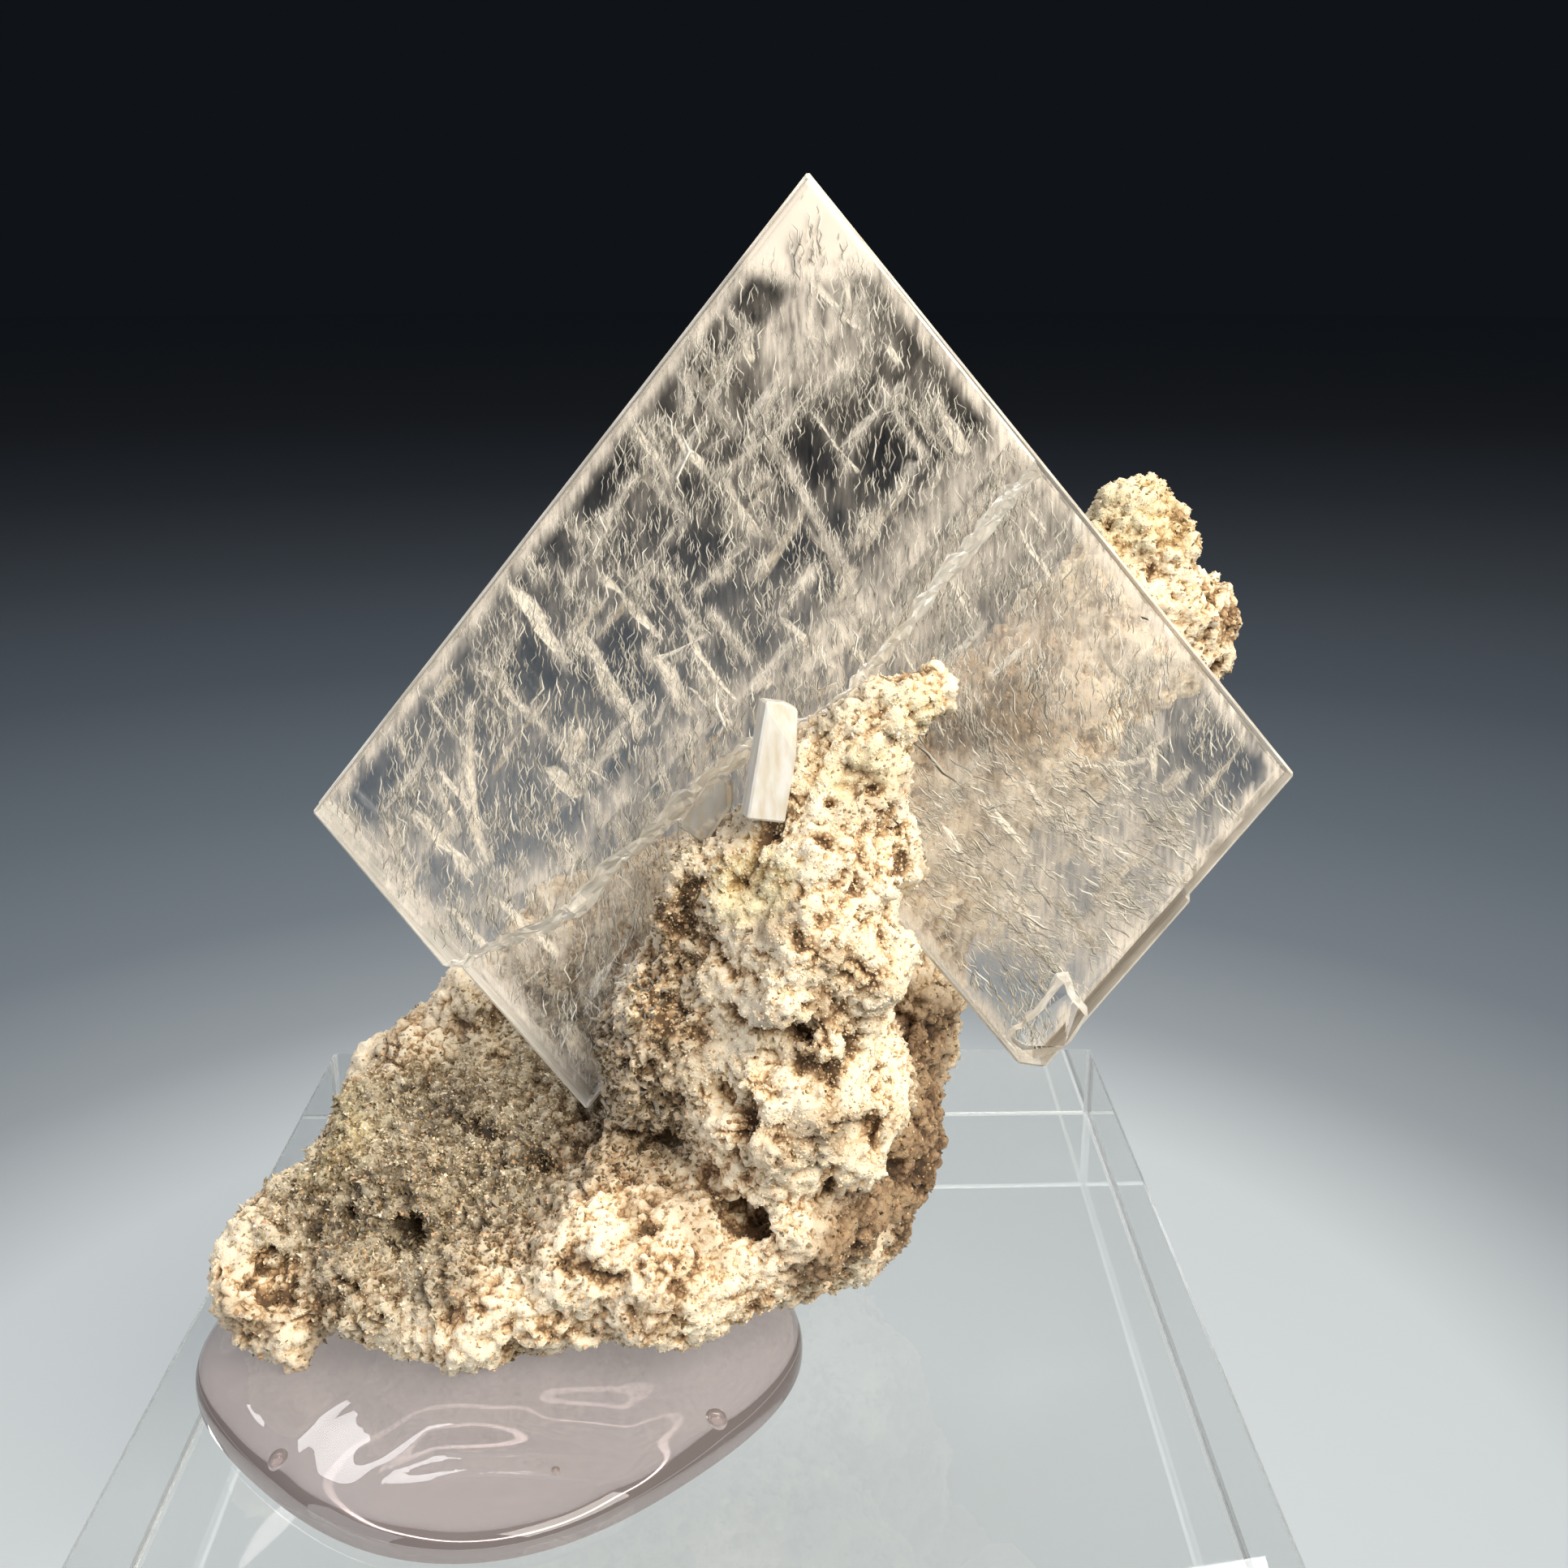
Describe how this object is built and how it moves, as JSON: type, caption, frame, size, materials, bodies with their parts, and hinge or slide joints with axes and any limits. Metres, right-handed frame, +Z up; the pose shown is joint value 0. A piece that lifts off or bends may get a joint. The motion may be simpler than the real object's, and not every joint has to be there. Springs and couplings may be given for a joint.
{
  "type": "barite specimen on acrylic block",
  "caption": "Clear rhombic barite plate on porous cream rock, held by clear gel on a square acrylic display block.",
  "frame": {"origin": "middle of the acrylic block's underside, where the piece rests", "axes": "+Z up, +X to the viewer's right, -Y towards the viewer, who faces the front of the crystal plate"},
  "size_m": [0.079, 0.0762, 0.1006],
  "materials": {
    "colourless_barite": "vitreous, clear to hazy, with frosted prism faces",
    "milky_barite": "vitreous, milky",
    "porous_rock": "rough, crumbly and porous",
    "clear_gel": "clear, glossy, soft",
    "clear_acrylic": "clear, polished"
  },
  "bodies": {
    "root": {"main_crystal": "colourless_barite", "prism_crystal": "milky_barite", "tablet_crystal": "colourless_barite", "matrix": "porous_rock", "mounting_gel": "clear_gel", "acrylic_block": "clear_acrylic"}
  },
  "joints": []
}
